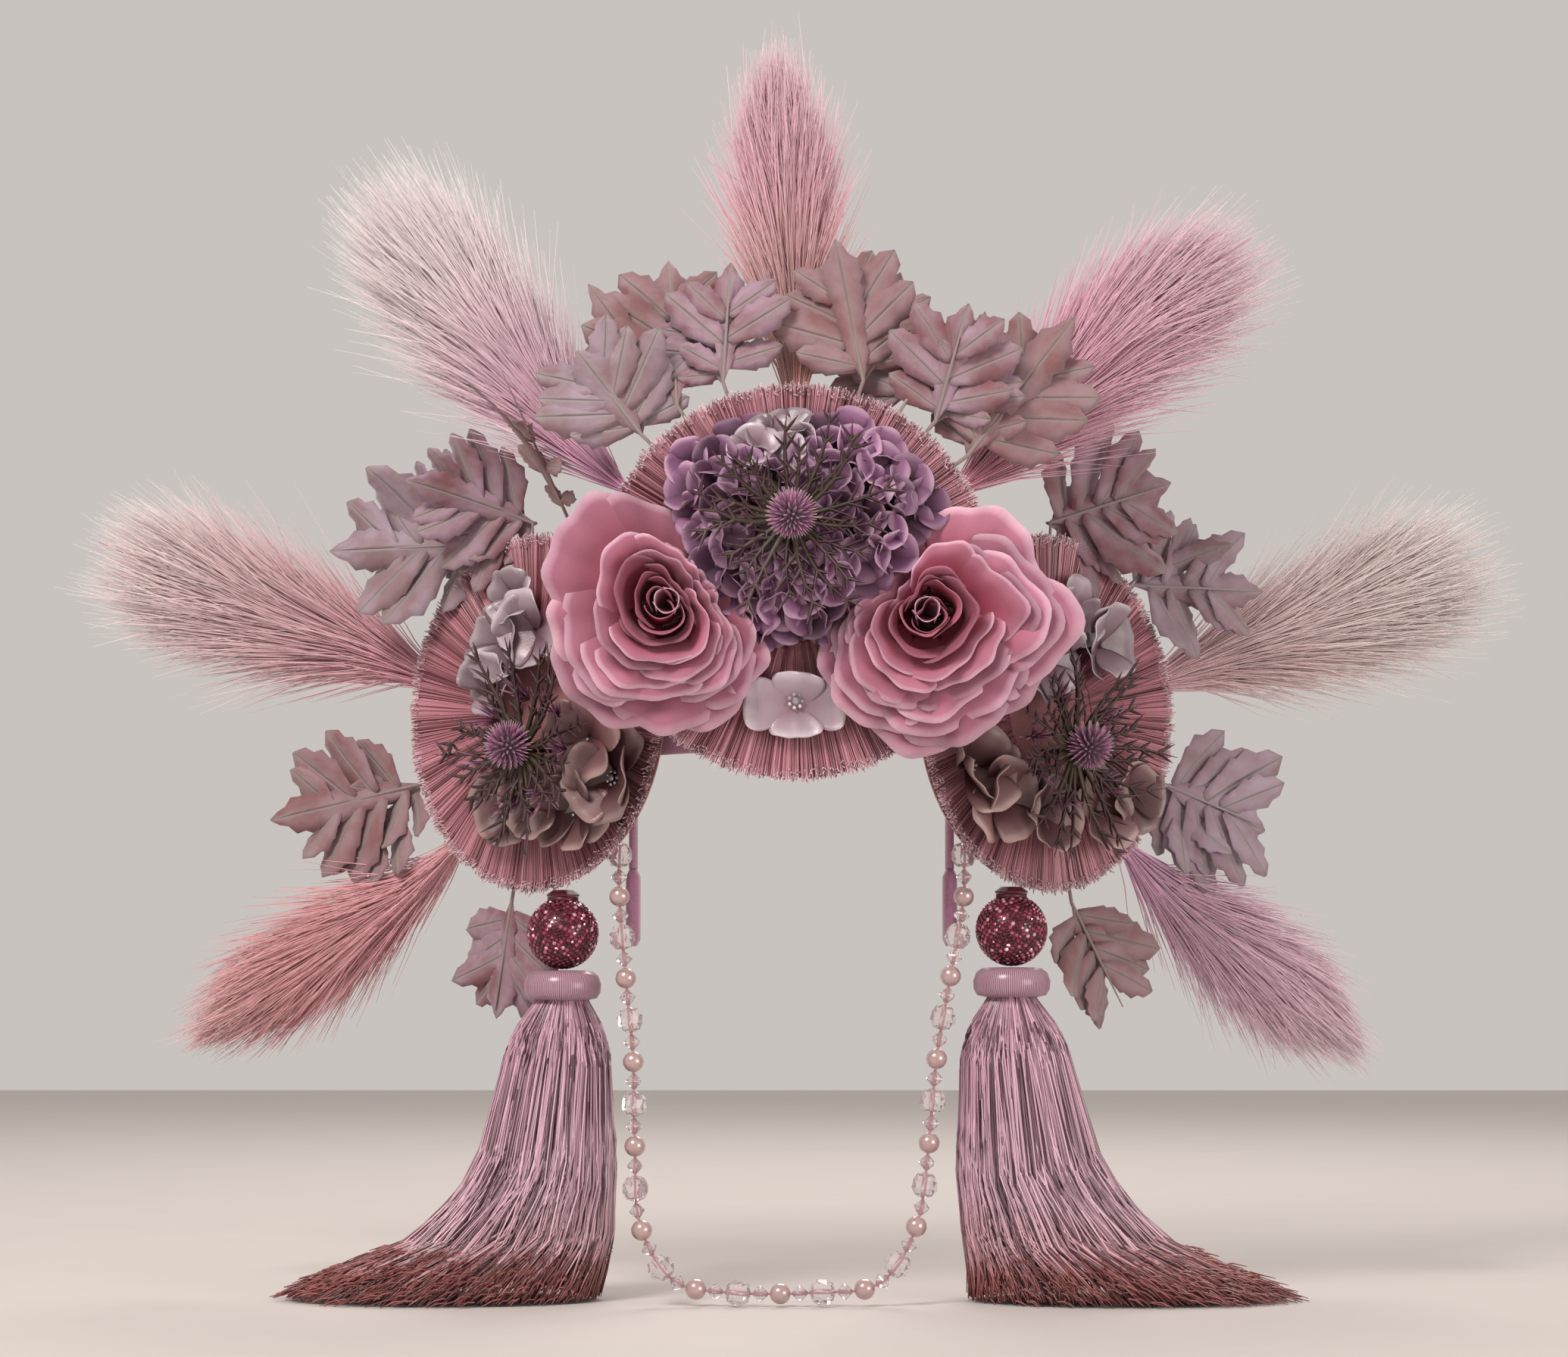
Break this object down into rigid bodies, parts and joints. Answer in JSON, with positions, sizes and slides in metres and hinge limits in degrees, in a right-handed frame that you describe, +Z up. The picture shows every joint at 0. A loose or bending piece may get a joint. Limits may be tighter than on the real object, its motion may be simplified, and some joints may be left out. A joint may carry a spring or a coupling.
{
  "type": "floral kokoshnik headdress",
  "caption": "Held up as a head wears it: fringe rosettes on a covered headband carry silk flowers, grass plumes, lobed leaves, satin tassels with crystal balls and a hanging bead swag",
  "frame": {"origin": "on the wearer's crown, at the middle of the headband's lower face, where the headdress sits on the head", "axes": "+Z up along the head, -Y is the front with the flowers, +X is the viewer's right"},
  "size_m": [0.7424, 0.2628, 0.6239],
  "materials": {
    "mauve_felt": "matt felt",
    "satin_fringe": "cut satin fringe",
    "rose_silk": "dyed silk petals",
    "lilac_silk": "dyed silk florets",
    "thistle": "matt, spiny",
    "pearl_petal": "pearly coated petals",
    "taupe_petal": "soft satin petals",
    "plume": "silky fibres",
    "leaf": "matt printed cloth",
    "tassel_satin": "satin yarn",
    "ruby_crystal": "faceted crystals, very glossy",
    "beads": "clear and pearl beads"
  },
  "bodies": {
    "root": {"band_sleeve_left": "mauve_felt", "band_sleeve_right": "mauve_felt", "bead_swag": "beads", "disc_backing": "mauve_felt", "disc_centre": "satin_fringe", "disc_left": "satin_fringe", "disc_right": "satin_fringe", "floret_centre": "pearl_petal", "headband": "mauve_felt", "hydrangea": "lilac_silk", "leaf_left_a": "leaf", "leaf_left_b": "leaf", "leaf_left_curled": "leaf", "leaf_low_left": "leaf", "leaf_low_right": "leaf", "leaf_right_a": "leaf", "leaf_right_b": "leaf", "leaf_top_left_a": "leaf", "leaf_top_left_b": "leaf", "leaf_top_left_c": "leaf", "leaf_top_right_a": "leaf", "leaf_top_right_b": "leaf", "leaf_top_right_c": "leaf", "leaf_top_right_d": "leaf", "leaf_under_left": "leaf", "leaf_under_right": "leaf", "petals_silver_left": "pearl_petal", "petals_silver_right": "pearl_petal", "petals_taupe_left": "taupe_petal", "petals_taupe_right": "taupe_petal", "plume_lower_left": "plume", "plume_lower_right": "plume", "plume_mid_left": "plume", "plume_mid_right": "plume", "plume_top": "plume", "plume_upper_left": "plume", "plume_upper_right": "plume", "rose_left": "rose_silk", "rose_right": "rose_silk", "tassel_ball_left": "ruby_crystal", "tassel_ball_right": "ruby_crystal", "tassel_cap_left": "ruby_crystal", "tassel_cap_right": "ruby_crystal", "tassel_ring_left": "tassel_satin", "tassel_ring_right": "tassel_satin", "tassel_skirt_left": "tassel_satin", "tassel_skirt_right": "tassel_satin", "thistle_centre": "thistle", "thistle_left": "thistle", "thistle_right": "thistle"}
  },
  "joints": []
}
